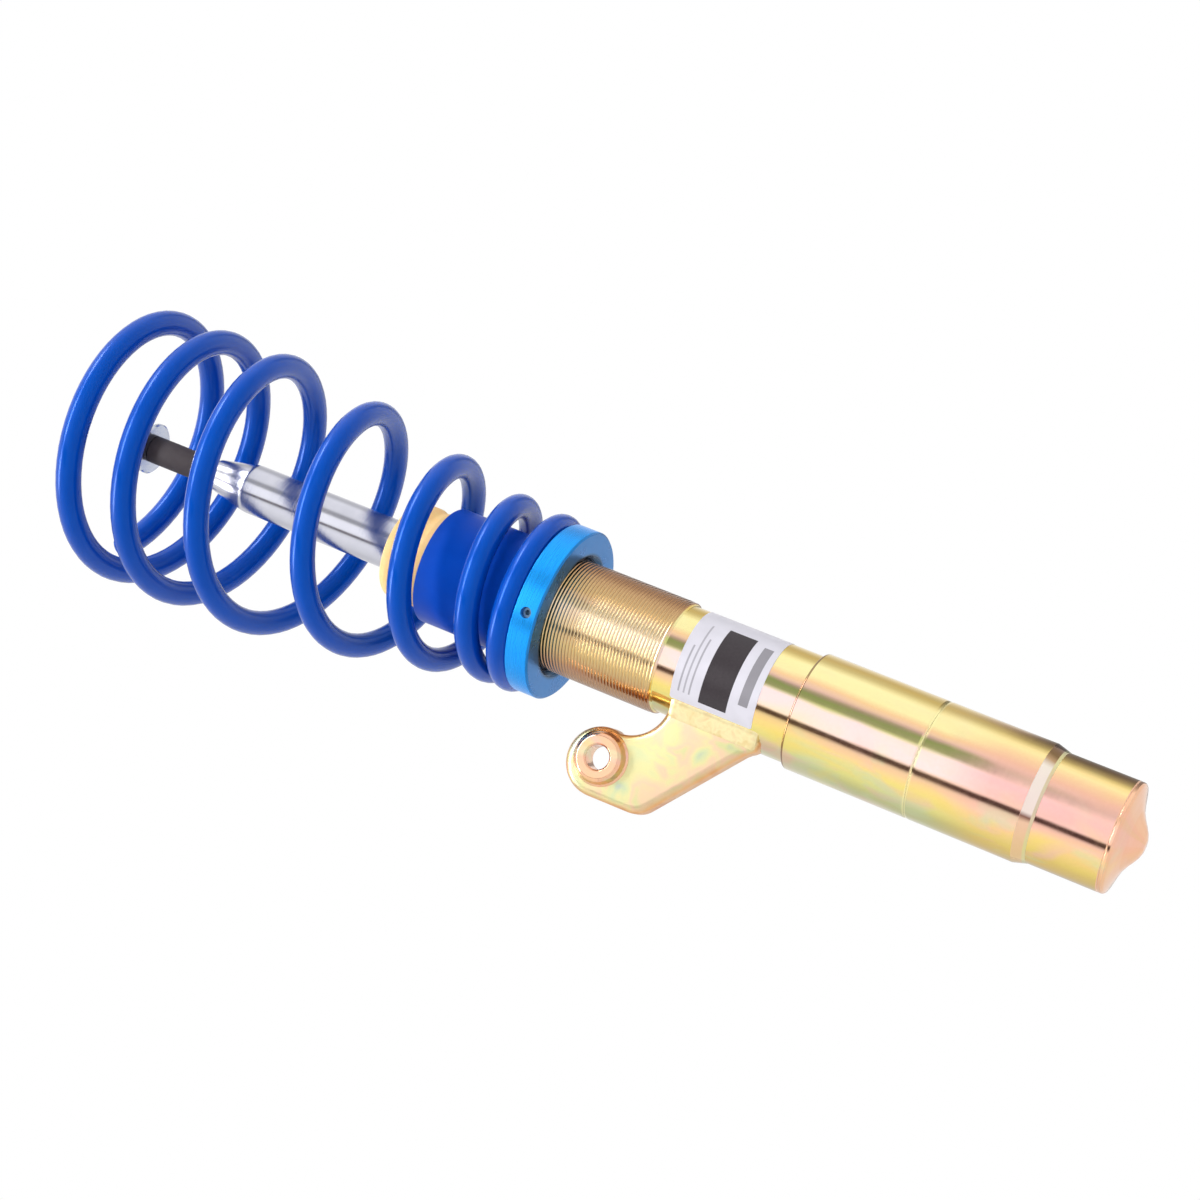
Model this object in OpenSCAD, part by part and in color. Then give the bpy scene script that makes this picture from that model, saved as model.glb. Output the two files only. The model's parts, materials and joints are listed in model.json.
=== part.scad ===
// Height-adjustable coil-over strut for a front axle, built as separate pieces.
// Upright: +Z runs along the strut towards the rod end.
// The origin is on the axis, in the middle of the band that the knuckle clamps.
// The link bracket reaches towards -X, and its boss faces -Y.

/* [Damper tube] */
// Outer diameter of the plain tube
tube_d = 46.4; // [44:0.2:48]
// Outer diameter over the thread crests
thread_d = 49.2; // [48.6:0.2:50]
// Bore of the tube
tube_bore_d = 41.8; // [40:0.2:42.6]
// Height where the thread starts, above the origin
thread_low_z = 136.6; // [130:0.2:142]
// Height of the tube's open end
tube_top_z = 246; // [243:0.5:250]
// Height of the tube's lower end, where the base cup is welded on
tube_low_z = -57; // [-60:0.5:-54]

/* [Clamp sleeve] */
// Diameter of the band that the knuckle clamps
clamp_d = 50; // [49.6:0.1:51]
// Length of the clamped band
clamp_len = 45; // [40:1:48]
// Height of the support ring above the clamped band
support_h = 54.5; // [40:0.5:58]
// Height of the lead-in chamfer below the clamped band
clamp_chamfer = 5.6; // [3:0.1:7]

/* [Base cup] */
// Depth of the dished end below the tube
nose_h = 8.2; // [6:0.2:12]

/* [Link bracket] */
// Distance of the link hole from the strut's axis
link_x = 49.2; // [47:0.2:53]
// Height of the link hole above the origin
link_z = 146.8; // [143:0.2:151]
// Diameter of the link hole
link_hole_d = 10.2; // [8.2:0.1:12.2]
// Outer diameter of the boss round the hole
boss_d = 22; // [19:0.5:24]
// Height of the boss above the plate
boss_h = 5; // [3:0.2:8]
// Radius of the bracket's round end
bracket_end_r = 14.7; // [14.2:0.1:15.4]
// Thickness of the pressed plate
plate_t = 4; // [3:0.5:5]
// Distance of the plate's front face from the strut's axis plane
plate_front = 14; // [12:0.5:15]
// Depth of the folded rim, front to back
rim_depth = 10; // [7:0.5:12]
// Thickness of the folded rim
rim_t = 3.6; // [3:0.2:5]

/* [Spring perch] */
// Diameter of the perch ring
perch_d = 74.6; // [72:0.2:78]
// Thickness of the perch ring
perch_h = 11.2; // [9:0.2:14]
// Height of the perch ring's lower face
perch_z = 187; // [183:0.5:195]
// Outer diameter of the sleeve inside the spring
sleeve_d = 51.4; // [51:0.1:55]
// Length of the sleeve above the perch ring
sleeve_len = 51.4; // [40:0.5:53]

/* [Main spring] */
// Wire diameter at the top of the spring
wire_top_d = 11.2; // [10:0.1:12]
// Wire diameter at the perch
wire_low_d = 10.2; // [9.4:0.1:10.2]
// Mean radius of the wide upper coils
coil_top_r = 56.2; // [54:0.2:60]
// Mean radius of the narrow lower coils
coil_low_r = 34.3; // [33.8:0.1:36]
// How much the planes of the upper coils slope, front to back
coil_lean = 0.066; // [0:0.001:0.08]

/* [Piston rod] */
// Diameter of the chromed rod
rod_d = 22; // [20:0.5:22]
// Diameter of the threaded neck at the top
neck_d = 10.5; // [10:0.5:12]
// Stroke of the rod from fully out to fully in
rod_stroke = 85; // [60:1:95]

/* [Bump stop] */
// Diameter of the foam bump stop
stop_d = 44; // [38:0.5:46]
// Height of the foam bump stop
stop_h = 24; // [18:0.5:30]

/* [Hidden] */
$fn = 96;
run_fit = 0.06;        // radial running clearance
tube_r = tube_d / 2;
bore_r = tube_bore_d / 2;
thread_r = thread_d / 2;
clamp_r = clamp_d / 2;
clamp_low_z = -clamp_len / 2;
clamp_top_z = clamp_len / 2;
seam_gap = 0.5;        // groove between the clamped band and the support ring
rod_r = rod_d / 2;
neck_r = neck_d / 2;

// damper internals, from the bottom up
cyl_or = 17.5;         // pressure tube, outside
cyl_ir = 16;           // pressure tube, bore
cyl_low_z = -46;
guide_z = 210;         // underside of the rod guide
cyl_top_z = guide_z + 6;
seal_z = 226;
gland_z = 233;
piston_z = 150;        // underside of the piston
piston_h = 20;
stop_ring_z = guide_z - 12;

// rod end, from the shoulder up
rod_low_z = piston_z - 16;
cone_top_z = tube_top_z + stop_h + rod_stroke + 12.3;   // a mount here stays clear of the stop
cone_low_z = cone_top_z - 18.2;
cone_top_r = 7;
protector_z = cone_top_z + 2;
nut_z = 402;
nut_h = 11;
rod_top_z = nut_z + nut_h + 1.5;

// perch
perch_top_z = perch_z + perch_h;
spigot_h = 5;
spigot_r = 28.6;

// coil: turn 0 points at -X; the wire runs down, through +Y, +X and -Y
first_turn = 0.09;
last_turn = 7.05;
steps_per_turn = 22;
wire_sides = 10;
coil_rest_z = perch_top_z - 0.9 + wire_low_d / 2;

// pitch, in mm a turn, at some turns: closed ends and an open middle
pitch_at = [[0, 15], [0.35, 18], [0.75, 26], [1.25, 30.5], [1.75, 28.5], [2.25, 34], [2.75, 48],
            [3.25, 50], [3.75, 48.5], [4.25, 42], [4.75, 36.5], [5.25, 29], [5.75, 22.6],
            [6.15, 24], [6.7, 4], [6.85, 0], [8, 0]];
// how far the coil has closed in from wide (0) to narrow (1)
taper_at = [[0, 0], [2.5, 0], [3, 0.04], [3.5, 0.25], [4, 0.39], [4.5, 0.64], [5, 0.76],
            [5.5, 0.94], [6, 0.99], [6.3, 1], [8, 1]];

function turn(i) = first_turn + i / steps_per_turn;
coil_steps = floor((last_turn - first_turn) * steps_per_turn);
coil_drop = [for (i = 0, d = 0; i <= coil_steps;
                  i = i + 1, d = d + lookup(turn(i - 0.5), pitch_at) / steps_per_turn) d];
coil_total = coil_drop[coil_steps];
function coil_flat_z(i) = coil_rest_z + coil_total - coil_drop[i];
function coil_a(i) = 180 - 360 * turn(i);
function lean_share(z) = min(1, max(0, (z - perch_top_z - 7) / 60));   // none at the perch
function coil_z(i) = coil_flat_z(i) - coil_lean * coil_r(i) * sin(coil_a(i)) * lean_share(coil_flat_z(i));
function coil_r(i) = coil_top_r + (coil_low_r - coil_top_r) * lookup(turn(i), taper_at);
function wire_r(i) = (wire_top_d + (wire_low_d - wire_top_d) * i / coil_steps) / 2;

// points of an arc in the plane, from angle a to angle b
function arc(cx, cy, r, a, b, n) =
    [for (i = [0 : n]) [cx + r * cos(a + (b - a) * i / n), cy + r * sin(a + (b - a) * i / n)]];

// turned ring between two radii
module ring(ro, ri, z, h) {
    translate([0, 0, z]) difference() {
        cylinder(r = ro, h = h);
        translate([0, 0, -1]) cylinder(r = ri, h = h + 2);
    }
}

// ---- strut body ----

// one steel tube: plain below, threaded above
module damper_tube() {
    color([0.93, 0.84, 0.55]) rotate_extrude() polygon([
        [bore_r, tube_low_z], [tube_r, tube_low_z], [tube_r, thread_low_z],
        [thread_r - 0.9, thread_low_z + 1.0], [thread_r, thread_low_z + 2.2],
        [thread_r, tube_top_z - 1], [thread_r - 1, tube_top_z], [bore_r, tube_top_z]]);
}

// pressed and welded end: a shallow dish that rises to a small nose
module base_cup() {
    z0 = tube_low_z;
    color([0.93, 0.84, 0.55]) rotate_extrude() polygon([
        [0, z0 + 3], [bore_r - 0.1, z0 + 3], [bore_r - 0.1, z0], [tube_r, z0],
        [tube_r, z0 - 1.6], [tube_r - 0.5, z0 - 2.5], [tube_r - 1.6, z0 - 3],
        [17, z0 - 4.4], [13, z0 - 5.6], [10, z0 - 7.2], [7.6, z0 - 8.8],
        [5.2, z0 - 10.2], [2.8, z0 - nose_h - 2.8], [0, z0 - nose_h - 3]]);
}

// thick sleeve on the tube: the plain band that the knuckle's split clamp grips
module clamp_sleeve() {
    color([0.93, 0.84, 0.55]) rotate_extrude() polygon([
        [tube_r, clamp_low_z - clamp_chamfer], [clamp_r, clamp_low_z],
        [clamp_r, clamp_top_z], [clamp_r - 0.3, clamp_top_z + 0.3], [tube_r, clamp_top_z + 0.3]]);
}

// ring above the band, with a rounded step down to the tube
module support_ring() {
    z0 = clamp_top_z + seam_gap;
    z1 = clamp_top_z + support_h;
    color([0.93, 0.84, 0.55]) rotate_extrude() polygon([
        [tube_r, z0 - 0.15], [clamp_r - 0.3, z0 - 0.15], [clamp_r, z0 + 0.2], [clamp_r, z1 - 2.4],
        [clamp_r - 0.35, z1 - 0.9], [clamp_r - 1.1, z1], [tube_r, z1]]);
}

// ---- link bracket: drawn in the X-Z plane, then stood up to face -Y ----

end_c = [-51, 147.5];  // centre of the round end
corner_c = [-55, 128.5];
corner_r = 10.5;
slope_a = 230.6;       // direction that the long lower edge faces
slope_end = [-26.4, 91.4];
tip = [-22.9, 87.2];
hollow_c = [-20, 145.2]; // centre of the concave upper edge
hollow_r = 17;

// outline of the bracket, drawn in by w on its free edges
function bracket_outline(w) = concat(
    [[-14, slope_end[1] - 5 + w], [tip[0], tip[1] + w],
     [tip[0] - 1.9, tip[1] + 2.4 + w],
     [slope_end[0] - w * cos(slope_a), slope_end[1] - w * sin(slope_a)]],
    arc(corner_c[0], corner_c[1], corner_r - w, slope_a, 180, 8),
    arc(end_c[0], end_c[1], bracket_end_r - w, 180, -8, 20),
    arc(hollow_c[0], hollow_c[1], hollow_r + w, 183, 268, 10),
    [[-14, hollow_c[1] - hollow_r - w]]);

// slab with the bracket's outline, from depth y0 to y1 in front of the axis
module bracket_slab(w, y0, y1) {
    translate([0, -y0, 0]) rotate([90, 0, 0])
        linear_extrude(height = y1 - y0) polygon(bracket_outline(w));
}

// pressed plate with its rim folded back
module bracket_body() {
    back = plate_front - rim_depth;
    difference() {
        bracket_slab(0, back, plate_front);
        bracket_slab(rim_t, back - 1, plate_front - plate_t);
    }
}

module link_bracket() {
    color([0.95, 0.87, 0.68]) difference() {
        bracket_body();
        translate([0, 0, 60]) cylinder(r = tube_r, h = 110);
        translate([-link_x, 0, link_z]) rotate([90, 0, 0]) cylinder(r = boss_d / 2, h = 40);
    }
}

// collar pressed through the plate; the anti-roll bar link bolts to its face
module link_boss() {
    face = plate_front + boss_h;
    back = plate_front - plate_t - 1.2;
    r = boss_d / 2;
    color([0.95, 0.80, 0.70]) translate([-link_x, -back, link_z]) rotate([90, 0, 0])
        rotate_extrude() polygon([
            [link_hole_d / 2, 0], [r, 0], [r, plate_front - back], [r - 0.7, face - back - 1.4],
            [r - 1.1, face - back - 0.4], [r - 2.1, face - back],
            [link_hole_d / 2 + 0.4, face - back], [link_hole_d / 2, face - back - 0.4]]);
}

// fillet welds along the front and back of the plate
module bracket_weld() {
    color([0.80, 0.74, 0.40]) difference() {
        translate([0, 0, tip[1] + 0.5]) linear_extrude(height = 39.5) union() {
            polygon([[-17, -plate_front], [-22.4, -plate_front], [-20.9, -plate_front - 1.0],
                     [-18.6, -plate_front - 2.1], [-16.4, -plate_front - 2.9],
                     [-14.5, -plate_front - 3.4]]);
            polygon([[-19, -plate_front + plate_t], [-24.6, -plate_front + plate_t],
                     [-24.0, -plate_front + plate_t + 1.9], [-20, -plate_front + plate_t + 4.6]]);
        }
        translate([0, 0, 60]) cylinder(r = tube_r, h = 110);
        bracket_body();
    }
}

// blank sticker on the plain tube
module id_label() {
    color([0.88, 0.88, 0.93]) rotate([0, 0, -131]) rotate_extrude(angle = 141)
        translate([tube_r, 91]) square([0.15, 37]);
}

// ---- inside the damper ----

module pressure_tube() {
    color([0.75, 0.76, 0.78]) ring(cyl_or, cyl_ir, cyl_low_z, cyl_top_z - cyl_low_z);
}

// foot valve body: a stepped plug with feed ports
module base_valve() {
    color([0.55, 0.56, 0.58]) difference() {
        rotate_extrude() polygon([
            [4, cyl_low_z - 8], [cyl_or + 1.5, cyl_low_z - 8], [cyl_or + 1.5, cyl_low_z],
            [cyl_ir, cyl_low_z], [cyl_ir, cyl_low_z + 6], [4, cyl_low_z + 6]]);
        for (i = [0 : 5]) rotate([0, 0, i * 60]) translate([10.5, 0, cyl_low_z - 10])
            cylinder(r = 1.8, h = 20);
    }
}

// spring-steel disc over the foot valve's ports
module base_valve_disc() {
    color([0.7, 0.72, 0.76]) ring(13.5, 4, cyl_low_z + 6, 0.8);
}

// guide: sits in the tube and centres the pressure tube and the rod
module rod_guide() {
    color([0.66, 0.67, 0.69]) rotate_extrude() polygon([
        [13, guide_z], [cyl_ir, guide_z], [cyl_ir, cyl_top_z], [bore_r - 0.05, cyl_top_z],
        [bore_r - 0.05, seal_z], [13, seal_z]]);
}

module guide_bush() {
    color([0.72, 0.55, 0.28]) ring(13, rod_r + run_fit, guide_z + 1, 14);
}

module rod_seal() {
    color([0.1, 0.1, 0.11]) rotate_extrude() polygon([
        [rod_r + run_fit, seal_z + 1.5], [rod_r + 2.4, seal_z], [bore_r - 0.05, seal_z],
        [bore_r - 0.05, gland_z], [rod_r + 2.4, gland_z], [rod_r + run_fit, gland_z - 1.5]]);
}

// closure nut screwed into the tube's mouth, with four spanner holes
module gland_nut() {
    color([0.62, 0.63, 0.66]) difference() {
        ring(bore_r - 0.05, rod_r + 2.6, gland_z, tube_top_z - gland_z);
        for (i = [0 : 3]) rotate([0, 0, 45 + i * 90]) translate([17.2, 0, tube_top_z - 4])
            cylinder(r = 1.6, h = 5);
    }
}

module wiper_ring() {
    color([0.12, 0.12, 0.13]) rotate_extrude() polygon([
        [rod_r + run_fit, tube_top_z - 1.2], [rod_r + run_fit, tube_top_z - 2.4],
        [rod_r + 1.2, tube_top_z - 6], [rod_r + 2.6, tube_top_z - 6],
        [rod_r + 2.6, tube_top_z - 0.4], [rod_r + 1.0, tube_top_z - 0.4]]);
}

// ---- rod and what is fixed to it ----

// one turned bar: piston spigot, chromed shaft, cone and threaded neck
module piston_rod() {
    color([0.86, 0.87, 0.90]) rotate_extrude() polygon([
        [0, rod_low_z], [6, rod_low_z], [6, piston_z + piston_h],
        [rod_r - 0.8, piston_z + piston_h], [rod_r, piston_z + piston_h + 0.8],
        [rod_r, cone_low_z - 3], [rod_r - 0.25, cone_low_z], [cone_top_r, cone_top_z],
        [neck_r, cone_top_z], [neck_r, rod_top_z - 1.2], [neck_r - 1.2, rod_top_z],
        [0, rod_top_z]]);
}

// buffer ring that meets the guide when the rod is fully out
module rebound_stop() {
    color([0.2, 0.2, 0.22]) rotate_extrude() polygon([
        [rod_r, stop_ring_z], [rod_r + 3, stop_ring_z], [rod_r + 3.6, stop_ring_z + 2],
        [rod_r + 3.6, guide_z - 3], [rod_r + 2.6, guide_z - 0.3], [rod_r, guide_z - 0.3]]);
}

// piston with flow ports and a groove for its band
module piston() {
    color([0.5, 0.51, 0.53]) difference() {
        rotate_extrude() polygon([
            [6, piston_z], [cyl_ir - 0.4, piston_z], [cyl_ir - 0.4, piston_z + 5],
            [cyl_ir - 1.6, piston_z + 5], [cyl_ir - 1.6, piston_z + 15],
            [cyl_ir - 0.4, piston_z + 15], [cyl_ir - 0.4, piston_z + piston_h],
            [6, piston_z + piston_h]]);
        for (i = [0 : 5]) rotate([0, 0, i * 60]) translate([10.4, 0, piston_z - 1])
            cylinder(r = 1.7, h = piston_h + 2);
    }
}

module piston_band() {
    color([0.25, 0.2, 0.15]) ring(cyl_ir - 0.05, cyl_ir - 1.6, piston_z + 5, 10);
}

module valve_disc() {
    color([0.7, 0.72, 0.76]) ring(12.8, 6, piston_z - 1.2, 1.2);
}

module piston_nut() {
    color([0.6, 0.6, 0.62]) difference() {
        translate([0, 0, piston_z - 11.2]) cylinder(r = 10.4, h = 10, $fn = 6);
        translate([0, 0, piston_z - 13]) cylinder(r = 6, h = 14);
    }
}

// plastic tube pushed over the threaded neck
module thread_protector() {
    z0 = protector_z;
    color([0.2, 0.18, 0.19]) rotate_extrude() polygon([
        [neck_r, z0], [neck_r + 0.5, z0], [neck_r + 0.9, z0 + 0.9], [neck_r + 0.9, nut_z - 2],
        [neck_r + 0.4, nut_z - 0.6], [neck_r + 0.2, nut_z], [neck_r, nut_z]]);
}

// flanged hexagon nut with a domed washer face
module top_nut() {
    af = 16;
    color([0.82, 0.84, 0.86]) difference() {
        union() {
            translate([0, 0, nut_z]) rotate_extrude() polygon([
                [0, 0], [11, 0], [11.6, 0.6], [11.6, 1.6], [10.6, 2.6], [7.8, 4.2], [0, 4.2]]);
            intersection() {
                translate([0, 0, nut_z + 1]) cylinder(r = af / 2 / cos(30), h = nut_h - 1, $fn = 6);
                translate([0, 0, nut_z]) rotate_extrude() polygon([
                    [0, 0], [af / 2 + 2, 0], [af / 2 + 2, nut_h - 1.6],
                    [af / 2 - 0.4, nut_h], [0, nut_h]]);
            }
        }
        translate([0, 0, nut_z - 1]) cylinder(r = neck_r, h = nut_h + 2);
    }
}

// ---- on the rod and the tube ----

// foam stop with a waist, standing on the closure nut
module bump_stop() {
    z0 = tube_top_z + 0.05;
    r = stop_d / 2;
    color([0.98, 0.72, 0.38]) rotate_extrude() polygon([
        [rod_r + run_fit, z0], [r - 3, z0], [r - 1, z0 + 0.8], [r, z0 + 3], [r, z0 + 7],
        [r - 0.7, z0 + 9.4], [r - 0.9, z0 + 10.5], [r - 0.7, z0 + 11.6], [r, z0 + 14],
        [r, z0 + stop_h - 4], [r - 0.7, z0 + stop_h - 1.6], [r - 2.4, z0 + stop_h],
        [rod_r + 2, z0 + stop_h], [rod_r + run_fit, z0 + stop_h - 1.5]]);
}

// sleeve between the thread and the spring
module spring_sleeve() {
    r = sleeve_d / 2;
    ri = thread_r + run_fit;
    z1 = perch_top_z + sleeve_len;
    color([0.02, 0.24, 0.68]) rotate_extrude() polygon([
        [ri, perch_top_z + 0.1], [r, perch_top_z + 0.1], [r, z1 - 1.2], [r - 0.25, z1 - 0.4],
        [r - 0.7, z1], [ri, z1]]);
}

// barrel-shaped progressive coil: wide above, narrow at the perch, both ends closed
module main_spring() {
    n = wire_sides;
    pts = [for (i = [0 : coil_steps], j = [0 : n - 1])
        let (a = coil_a(i), b = 360 * j / n, w = wire_r(i), r = coil_r(i) + w * cos(b))
        [r * cos(a), r * sin(a), coil_z(i) + w * sin(b)]];
    side = [for (i = [0 : coil_steps - 1], j = [0 : n - 1])
        [i * n + j, i * n + (j + 1) % n, (i + 1) * n + (j + 1) % n, (i + 1) * n + j]];
    first = [for (j = [0 : n - 1]) n - 1 - j];
    last = [for (j = [0 : n - 1]) coil_steps * n + j];
    color([0.0, 0.24, 0.75]) polyhedron(points = pts, faces = concat([first], side, [last]),
                                        convexity = 10);
}

// aluminium ring nut: spring seat groove above, flat below, hole for its locking screw
module spring_perch() {
    r = perch_d / 2;
    seat = perch_top_z - 1;
    color([0.0, 0.62, 0.98]) difference() {
        rotate_extrude() polygon([
            [thread_r + run_fit + 0.9, perch_z], [thread_r + run_fit + 2.4, perch_z + 0.01],
            [r - 0.8, perch_z], [r, perch_z + 0.8], [r, perch_top_z - 0.6],
            [r - 0.5, perch_top_z - 0.1], [r - 1.4, seat], [spigot_r + 0.4, seat],
            [spigot_r, seat + 0.4], [spigot_r, perch_top_z + spigot_h - 1],
            [spigot_r - 0.6, perch_top_z + spigot_h], [sleeve_d / 2 + 0.3, perch_top_z + spigot_h],
            [sleeve_d / 2 + 0.3, perch_top_z], [thread_r + run_fit, perch_top_z],
            [thread_r + run_fit, perch_z + 0.9]]);
        rotate([0, 0, 261.6]) translate([thread_r - 1, 0, perch_z + perch_h / 2 - 0.4])
            rotate([0, 90, 0]) cylinder(r = 2.3, h = 20);
    }
}

// locking screw, sunk in its hole, with a hexagon socket
module set_screw() {
    len = 10;
    color([0.25, 0.26, 0.3]) rotate([0, 0, 261.6])
        translate([thread_r + 0.5, 0, perch_z + perch_h / 2 - 0.4]) rotate([0, 90, 0]) difference() {
            cylinder(r = 2.3, h = len);
            translate([0, 0, len - 2.4]) cylinder(r = 1.25, h = 3, $fn = 6);
        }
}

damper_tube();
base_cup();
clamp_sleeve();
support_ring();
link_bracket();
link_boss();
bracket_weld();
id_label();
pressure_tube();
base_valve();
base_valve_disc();
rod_guide();
guide_bush();
rod_seal();
gland_nut();
wiper_ring();
piston_rod();
rebound_stop();
piston();
piston_band();
valve_disc();
piston_nut();
thread_protector();
top_nut();
bump_stop();
spring_sleeve();
main_spring();
spring_perch();
set_screw();
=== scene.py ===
"""Looks of a height-adjustable coil-over strut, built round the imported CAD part.

The strut stands along Z, rod end up. The origin is on its axis, in the middle of the clamped band.
The link bracket reaches towards -X and its boss faces -Y, towards the camera.
"""

import json
import math

import bmesh
import bpy
from mathutils import Matrix, Vector


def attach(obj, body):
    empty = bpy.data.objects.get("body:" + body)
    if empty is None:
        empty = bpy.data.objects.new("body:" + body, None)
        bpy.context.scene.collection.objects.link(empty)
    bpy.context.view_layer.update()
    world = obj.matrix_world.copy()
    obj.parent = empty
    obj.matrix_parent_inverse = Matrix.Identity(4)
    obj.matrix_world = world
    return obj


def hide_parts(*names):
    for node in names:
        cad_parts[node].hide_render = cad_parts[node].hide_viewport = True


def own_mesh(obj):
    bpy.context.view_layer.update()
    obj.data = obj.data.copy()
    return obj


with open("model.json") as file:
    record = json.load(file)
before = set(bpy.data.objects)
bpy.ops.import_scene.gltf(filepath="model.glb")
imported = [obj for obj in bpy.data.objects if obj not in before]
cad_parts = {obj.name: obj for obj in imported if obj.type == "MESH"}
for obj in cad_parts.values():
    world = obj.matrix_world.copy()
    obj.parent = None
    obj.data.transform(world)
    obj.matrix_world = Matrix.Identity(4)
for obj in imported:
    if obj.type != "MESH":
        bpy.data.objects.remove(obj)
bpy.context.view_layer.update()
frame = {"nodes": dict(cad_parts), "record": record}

MM = 0.001
TAU = 2 * math.pi
SEGS = 112           # facets round the big turned parts


# ---------------------------------------------------------------- sizes, in millimetres

TUBE_R, BORE_R, THREAD_R, THREAD_ROOT, PITCH = 23.2, 20.9, 24.6, 24.28, 1.5
TUBE_LOW, THREAD_LOW, TUBE_TOP = -57.0, 136.6, 246.0
CLAMP_R, CLAMP_HALF, CHAMFER_LOW, SEAM_Z, SUPPORT_TOP = 25.0, 22.5, -28.1, 22.8, 77.0
PERCH_LOW, PERCH_TOP, PERCH_R = 187.0, 198.2, 37.3
SLEEVE_R, SLEEVE_TOP = 25.7, 249.6
ROD_R, CONE_LOW, CONE_TOP, NECK_R, ROD_TOP = 11.0, 349.1, 367.3, 5.25, 414.5
STOP_LOW, STOP_H, STOP_R = 246.05, 24.0, 22.0
LINK_X, LINK_Z, BOSS_R, LINK_HOLE_R, BOSS_FACE = -49.2, 146.8, 11.0, 5.1, 19.0
PLATE_FRONT, PLATE_T, RIM_BACK, RIM_T = 14.0, 4.0, 4.0, 3.6
LABEL_LOW, LABEL_HIGH = 91.0, 128.0


# ---------------------------------------------------------------- mesh helpers

def srgb(r, g, b):
    """A screen colour, 0 to 255 a channel, as linear light with alpha."""
    def linear(c):
        c /= 255
        return c / 12.92 if c <= 0.04045 else ((c + 0.055) / 1.055) ** 2.4
    return (linear(r), linear(g), linear(b), 1.0)


def finish_piece(bm, name, body, look, replaces, sharp):
    """Turns a bmesh into a named piece that rides its body and stands in for CAD nodes."""
    bmesh.ops.remove_doubles(bm, verts=bm.verts, dist=2e-6)
    bmesh.ops.recalc_face_normals(bm, faces=bm.faces)
    mesh = bpy.data.meshes.new(name)
    bm.to_mesh(mesh)
    bm.free()
    mesh.shade_smooth()
    mesh.set_sharp_from_angle(angle=math.radians(sharp))
    piece = bpy.data.objects.new(name, mesh)
    bpy.context.scene.collection.objects.link(piece)
    mesh.materials.append(look)
    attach(piece, body)
    if replaces:
        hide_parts(*replaces)
    return piece


def add_grid(bm, rows, closed_rows=True, closed_columns=True):
    """Quads over rows of points in millimetres. Every row has the same number of points."""
    made = [[bm.verts.new(Vector(p) * MM) for p in row] for row in rows]
    n_rows, n = len(made), len(made[0])
    for i in range(n_rows if closed_rows else n_rows - 1):
        for j in range(n if closed_columns else n - 1):
            a, b = made[i][j], made[i][(j + 1) % n]
            c, d = made[(i + 1) % n_rows][(j + 1) % n], made[(i + 1) % n_rows][j]
            bm.faces.new((a, b, c, d))
    return made


def filleted(points, steps=4):
    """Corner points (r, z, fillet radius), in millimetres, as a profile with rounded corners."""
    out = []
    for i, (r, z, fillet) in enumerate(points):
        here = Vector((r, z))
        if not fillet:
            out.append(here)
            continue
        a = Vector(points[i - 1][:2]) - here
        b = Vector(points[(i + 1) % len(points)][:2]) - here
        half = a.angle(b) / 2
        back = min(fillet / math.tan(half), 0.49 * a.length, 0.49 * b.length)
        radius = back * math.tan(half)
        a.normalize()
        b.normalize()
        centre = here + (a + b).normalized() * (radius / math.sin(half))
        u, v = here + a * back - centre, here + b * back - centre
        for k in range(steps + 1):
            t = k / steps
            out.append(centre + (u * (1 - t) + v * t).normalized() * radius)
    return out


def turned_rows(profile, segs=SEGS):
    """Rows of points round Z for a profile of (r, z)."""
    return [[(r * math.cos(TAU * j / segs), r * math.sin(TAU * j / segs), z) for j in range(segs)]
            for r, z in profile]


def turned(name, corners, body, look, replaces=(), segs=SEGS, place=None, sharp=32):
    """A closed turned ring from corner points (r, z, fillet)."""
    bm = bmesh.new()
    add_grid(bm, turned_rows(filleted(corners), segs))
    if place is not None:
        bmesh.ops.transform(bm, matrix=place, verts=bm.verts)
    return finish_piece(bm, name, body, look, replaces, sharp)


def drill(piece, radius, start, end, sharp, segs=40):
    """Cuts a round hole through a piece from one point to another, in millimetres."""
    a, b = Vector(start) * MM, Vector(end) * MM
    place = Matrix.Translation((a + b) / 2) @ (b - a).to_track_quat("Z", "Y").to_matrix().to_4x4()
    bm = bmesh.new()
    bmesh.ops.create_cone(bm, cap_ends=True, segments=segs, radius1=radius * MM, radius2=radius * MM,
                          depth=(b - a).length, matrix=place)
    mesh = bpy.data.meshes.new("cutter")
    bm.to_mesh(mesh)
    bm.free()
    cutter = bpy.data.objects.new("cutter", mesh)
    bpy.context.scene.collection.objects.link(cutter)
    modifier = piece.modifiers.new("hole", "BOOLEAN")
    modifier.operation, modifier.solver, modifier.object = "DIFFERENCE", "EXACT", cutter
    bpy.context.view_layer.update()
    shaped = bpy.data.meshes.new_from_object(piece.evaluated_get(bpy.context.evaluated_depsgraph_get()))
    piece.modifiers.clear()
    piece.data = shaped
    shaped.shade_smooth()
    shaped.set_sharp_from_angle(angle=math.radians(sharp))
    bpy.data.objects.remove(cutter)


def lookup(x, table):
    """Straight-line reading of a table of (x, value)."""
    for (x0, v0), (x1, v1) in zip(table, table[1:]):
        if x <= x1:
            return v0 + (v1 - v0) * max(0.0, (x - x0) / (x1 - x0))
    return table[-1][1]


# ---------------------------------------------------------------- material helpers

def add_node(tree, kind, inputs=(), **settings):
    """A new node with its settings made and its inputs set or, where they are sockets, linked."""
    made = tree.nodes.new(kind)
    for key, value in settings.items():
        setattr(made, key, value)
    for key, value in dict(inputs).items():
        if isinstance(value, bpy.types.NodeSocket):
            tree.links.new(value, made.inputs[key])
        else:
            made.inputs[key].default_value = value
    return made


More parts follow.
